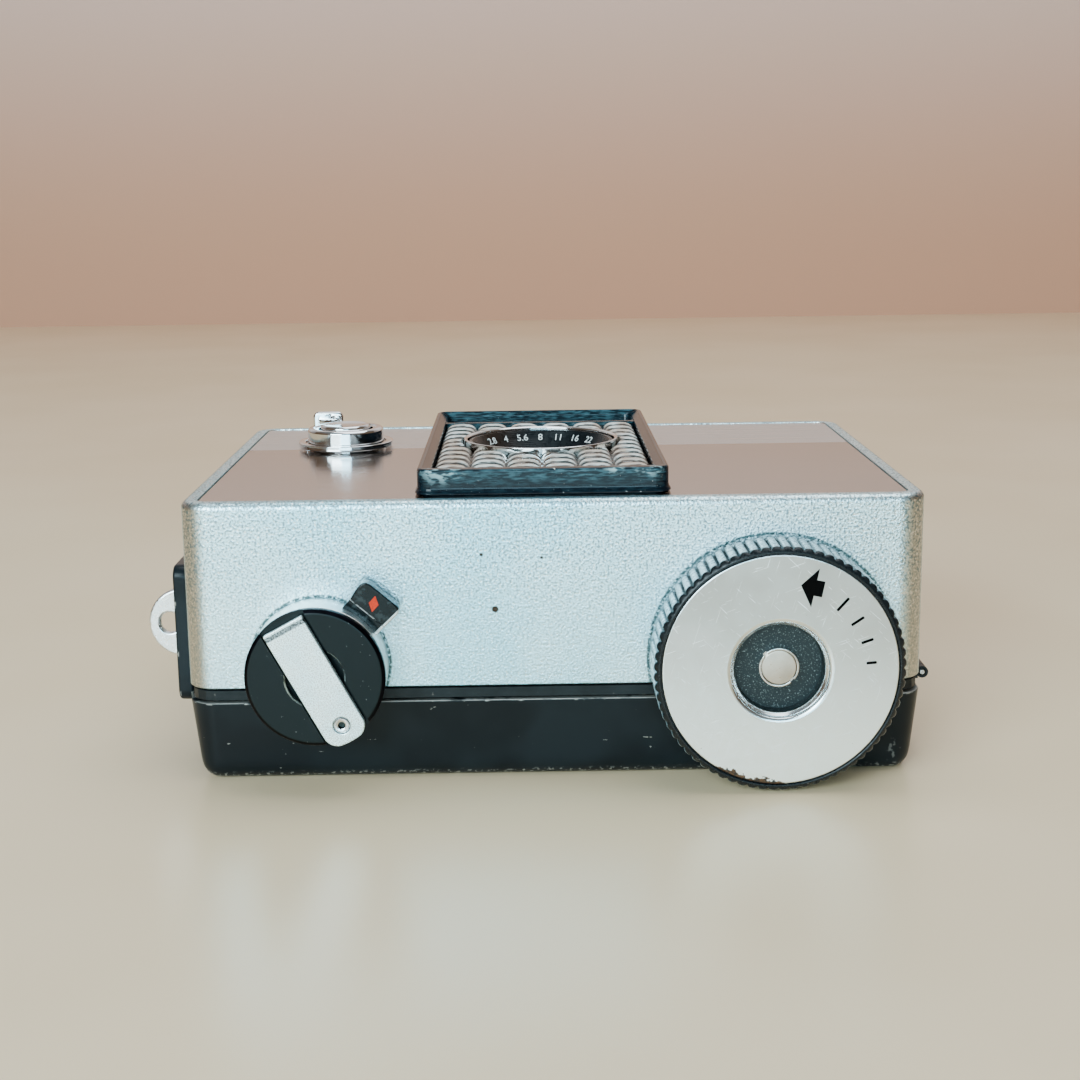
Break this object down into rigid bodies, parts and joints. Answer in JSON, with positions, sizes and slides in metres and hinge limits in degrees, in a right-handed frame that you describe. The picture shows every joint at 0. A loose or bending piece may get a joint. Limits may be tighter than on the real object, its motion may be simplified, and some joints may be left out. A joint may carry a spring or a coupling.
{
  "type": "compact half-frame film camera",
  "caption": "Compact box camera with a lens and light-meter panel on its front, a knurled wind knob and folding rewind crank on its base, and a hinged back door.",
  "frame": {"origin": "centre of the back door's flat outer face", "axes": "+Z from the back door to the lens, +X along the base from the rewind crank to the wind knob, +Y from the base plate to the camera's top"},
  "size_m": [0.0918, 0.0674, 0.0366],
  "materials": {
    "satin_silver": "fine-grained satin anodised",
    "brushed_plate": "finely brushed, clear coated",
    "black_paint": "satin black paint, worn at the edges",
    "gloss_black": "glossy black moulding",
    "knob_black": "glossy black",
    "knob_silver": "satin warm silver with fine scratches",
    "chrome": "polished",
    "clear_lenslets": "clear moulded lenslets",
    "selenium": "brown grey cell",
    "lens_glass": "coated glass",
    "chassis_black": "matt black",
    "black_steel": "blackened steel",
    "steel": "bright steel",
    "brass": "cut brass",
    "foam": "light-seal foam",
    "dial_white": "white numbered dial"
  },
  "bodies": {
    "camera": {"front_shell": "satin_silver", "front_plate": "brushed_plate", "lens_frame": "gloss_black", "cell_window": "clear_lenslets", "selenium_cell": "selenium", "chassis": "chassis_black", "shell_screw_1": "steel", "shell_screw_2": "steel", "shell_screw_3": "steel", "shell_screw_4": "steel", "strap_lug": "chrome", "hinge_pin": "steel", "flash_socket": "black_steel", "film_gate": "black_steel", "finder_tunnel": "chassis_black", "finder_eyepiece": "lens_glass", "finder_window": "lens_glass", "counter_window": "lens_glass", "button_collar": "chrome", "lens_barrel": "black_steel", "front_element": "lens_glass", "rear_cell": "black_steel", "rear_element": "lens_glass", "shutter_plate": "steel", "meter_magnet": "steel"},
    "wind": {"wind_knob": "knob_black", "wind_knob_disc": "knob_silver", "wind_knob_nut": "steel", "wind_arbor": "steel", "ratchet_wheel": "steel"},
    "pawl": {"ratchet_pawl": "steel"},
    "take_up": {"take_up_spool": "knob_black", "spool_gear": "brass", "mainspring": "steel"},
    "idler": {"idler_gear": "brass"},
    "sprocket": {"film_sprocket": "steel", "sprocket_gear": "brass"},
    "counter": {"counter_dial": "dial_white"},
    "rewind": {"rewind_knob": "knob_black", "rewind_fork": "steel"},
    "crank": {"crank_lever": "knob_silver"},
    "peg": {"crank_peg": "steel"},
    "selector": {"selector_ring": "knob_silver", "selector_tab": "gloss_black"},
    "button": {"shutter_button": "chrome", "button_spring": "steel"},
    "timer": {"timer_lever": "chrome"},
    "aperture_ring": {"lens_trim_ring": "chrome", "aperture_scale_ring": "chassis_black"},
    "blade_a": {"shutter_blade_a": "black_steel"},
    "blade_b": {"shutter_blade_b": "black_steel"},
    "vane_a": {"aperture_vane_a": "black_steel"},
    "vane_b": {"aperture_vane_b": "black_steel"},
    "needle": {"meter_needle": "brass"},
    "door": {"back_door": "black_paint", "light_seal": "foam", "door_catch": "steel"},
    "pressure": {"pressure_plate": "black_steel", "pressure_spring": "steel"},
    "latch": {"latch_plate": "black_paint"}
  },
  "joints": [
    {"name": "wind_knob_turn", "type": "hinge", "parent": "camera", "child": "wind", "pos_m": [0.0247, 0, 0.0142], "axis": [0, -1, 0], "continuous": true},
    {"name": "pawl_lift", "type": "hinge", "parent": "camera", "child": "pawl", "pos_m": [0.031, 0, 0.0192], "axis": [0, -1, 0], "range_deg": [0, 12], "stiffness_Nm_per_rad": 0.0005, "springref_deg": -11.46},
    {"name": "take_up_turn", "type": "hinge", "parent": "camera", "child": "take_up", "pos_m": [0.0247, 0, 0.0142], "axis": [0, -1, 0], "continuous": true},
    {"name": "idler_turn", "type": "hinge", "parent": "camera", "child": "idler", "pos_m": [0.01621, 0, 0.01718], "axis": [0, -1, 0], "continuous": true},
    {"name": "sprocket_turn", "type": "hinge", "parent": "camera", "child": "sprocket", "pos_m": [0.014, 0, 0.01054], "axis": [0, -1, 0], "continuous": true},
    {"name": "counter_turn", "type": "hinge", "parent": "camera", "child": "counter", "pos_m": [0.0247, 0, 0.0142], "axis": [0, -1, 0], "continuous": true},
    {"name": "rewind_turn", "type": "hinge", "parent": "camera", "child": "rewind", "pos_m": [-0.0266, 0, 0.014], "axis": [0, -1, 0], "continuous": true},
    {"name": "crank_fold", "type": "hinge", "parent": "rewind", "child": "crank", "pos_m": [-0.02978, -0.0365, 0.0199], "axis": [-0.8804, 0, -0.4742], "range_deg": [0, 180]},
    {"name": "peg_turn", "type": "hinge", "parent": "crank", "child": "peg", "pos_m": [-0.02375, -0.0365, 0.00872], "axis": [0, -1, 0], "continuous": true},
    {"name": "selector_turn", "type": "hinge", "parent": "camera", "child": "selector", "pos_m": [-0.0266, 0, 0.014], "axis": [0, -1, 0], "range_deg": [0, 35]},
    {"name": "button_press", "type": "slide", "parent": "camera", "child": "button", "axis": [0, 0, -1], "range_m": [0, 0.0015], "stiffness_N_per_m": 300, "springref_m": -0.001, "deforming": ["button_spring"]},
    {"name": "timer_turn", "type": "hinge", "parent": "camera", "child": "timer", "pos_m": [-0.0272, 0.011, 0], "axis": [0, 0, 1], "range_deg": [0, 100]},
    {"name": "aperture_ring_turn", "type": "hinge", "parent": "camera", "child": "aperture_ring", "pos_m": [-0.0011, -0.0005, 0], "axis": [0, 0, 1], "range_deg": [0, 150]},
    {"name": "shutter_open", "type": "hinge", "parent": "camera", "child": "blade_a", "pos_m": [0.0001, -0.0089, 0], "axis": [0, 0, -1], "range_deg": [0, 28]},
    {"name": "shutter_open_b", "type": "hinge", "parent": "camera", "child": "blade_b", "pos_m": [-0.0023, -0.0089, 0], "axis": [0, 0, 1], "range_deg": [0, 28]},
    {"name": "aperture_close", "type": "hinge", "parent": "camera", "child": "vane_a", "pos_m": [0.0001, 0.0079, 0], "axis": [0, 0, -1], "range_deg": [0, 20]},
    {"name": "aperture_close_b", "type": "hinge", "parent": "camera", "child": "vane_b", "pos_m": [-0.0023, 0.0079, 0], "axis": [0, 0, 1], "range_deg": [0, 20]},
    {"name": "meter_swing", "type": "hinge", "parent": "camera", "child": "needle", "pos_m": [-0.002, -0.0204, 0], "axis": [0, 0, 1], "range_deg": [-20, 20]},
    {"name": "door_open", "type": "hinge", "parent": "camera", "child": "door", "pos_m": [0.0428, 0, 0.0107], "axis": [0, -1, 0], "range_deg": [0, 110]},
    {"name": "pressure_slide", "type": "slide", "parent": "door", "child": "pressure", "axis": [0, 0, 1], "range_m": [-0.0006, 0], "stiffness_N_per_m": 300, "springref_m": 0.001, "deforming": ["pressure_spring"]},
    {"name": "latch_slide", "type": "slide", "parent": "camera", "child": "latch", "axis": [0, -1, 0], "range_m": [0, 0.0025], "stiffness_N_per_m": 300, "springref_m": -0.001}
  ],
  "couplings": [
    {"joint": "idler_turn", "follows": "take_up_turn", "ratio": -2},
    {"joint": "sprocket_turn", "follows": "take_up_turn", "ratio": 1.5},
    {"joint": "counter_turn", "follows": "take_up_turn", "ratio": 0.028},
    {"joint": "shutter_open_b", "follows": "shutter_open", "ratio": 1},
    {"joint": "aperture_close_b", "follows": "aperture_close", "ratio": 1}
  ]
}
